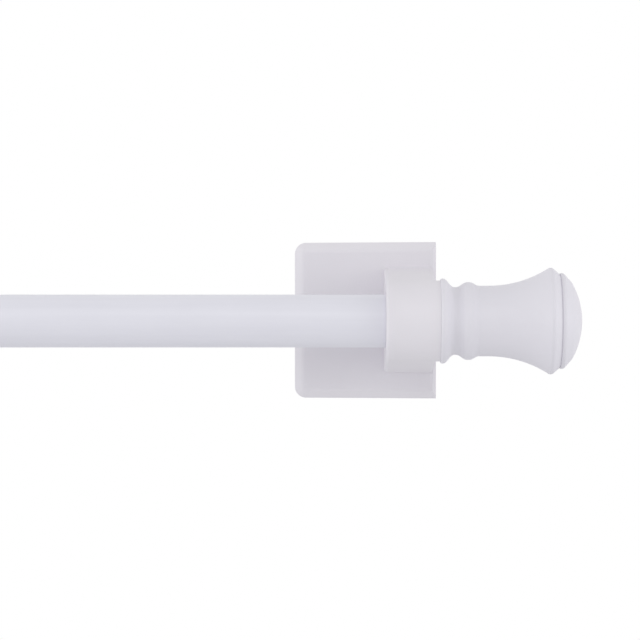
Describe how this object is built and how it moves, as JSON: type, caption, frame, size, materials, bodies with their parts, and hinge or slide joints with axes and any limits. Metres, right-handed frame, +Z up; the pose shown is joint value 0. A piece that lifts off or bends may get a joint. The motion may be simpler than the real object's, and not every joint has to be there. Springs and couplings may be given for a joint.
{
  "type": "curtain rod",
  "caption": "White telescoping curtain rod with magnetic end brackets whose collars carry the rod clear of a steel door, and pull-off trumpet finials with domed caps.",
  "frame": {"origin": "middle of the right bracket's back face, where it lies on the door", "axes": "+X along the rod towards the right-hand finial, +Y into the door, +Z up"},
  "size_m": [0.4923, 0.049, 0.0484],
  "materials": {
    "rod_paint": "satin",
    "bracket_plastic": "satin",
    "finial_plastic": "satin",
    "insert_plastic": "matte",
    "magnet_ferrite": "matte",
    "backing_steel": "satin",
    "pad_rubber": "matte"
  },
  "bodies": {
    "right_bracket": {"right_bracket_housing": "bracket_plastic", "right_backing_plate": "backing_steel", "right_magnet_upper": "magnet_ferrite", "right_magnet_lower": "magnet_ferrite", "right_grip_pad": "pad_rubber"},
    "outer_rod": {"outer_tube": "rod_paint", "right_end_insert": "insert_plastic"},
    "inner_rod": {"inner_tube": "rod_paint", "left_end_insert": "insert_plastic"},
    "left_bracket": {"left_bracket_housing": "bracket_plastic", "left_backing_plate": "backing_steel", "left_magnet_upper": "magnet_ferrite", "left_magnet_lower": "magnet_ferrite", "left_grip_pad": "pad_rubber", "left_reducer_sleeve": "insert_plastic"},
    "right_finial": {"right_finial_body": "finial_plastic", "right_finial_cap": "finial_plastic"},
    "left_finial": {"left_finial_body": "finial_plastic", "left_finial_cap": "finial_plastic"}
  },
  "joints": [
    {"name": "rod_roll", "type": "hinge", "parent": "right_bracket", "child": "outer_rod", "pos_m": [0.01375, -0.033, 0], "axis": [1, 0, 0], "continuous": true},
    {"name": "rod_telescope", "type": "slide", "parent": "outer_rod", "child": "inner_rod", "axis": [-1, 0, 0], "range_m": [0, 0.3048]},
    {"name": "left_bracket_swivel", "type": "hinge", "parent": "inner_rod", "child": "left_bracket", "pos_m": [-0.37665, -0.033, 0], "axis": [1, 0, 0], "continuous": true},
    {"name": "right_finial_pull", "type": "slide", "parent": "outer_rod", "child": "right_finial", "axis": [1, 0, 0], "range_m": [0, 0.02]},
    {"name": "left_finial_pull", "type": "slide", "parent": "inner_rod", "child": "left_finial", "axis": [-1, 0, 0], "range_m": [0, 0.02]}
  ],
  "couplings": [
    {"joint": "left_bracket_swivel", "follows": "rod_roll", "ratio": -1}
  ]
}
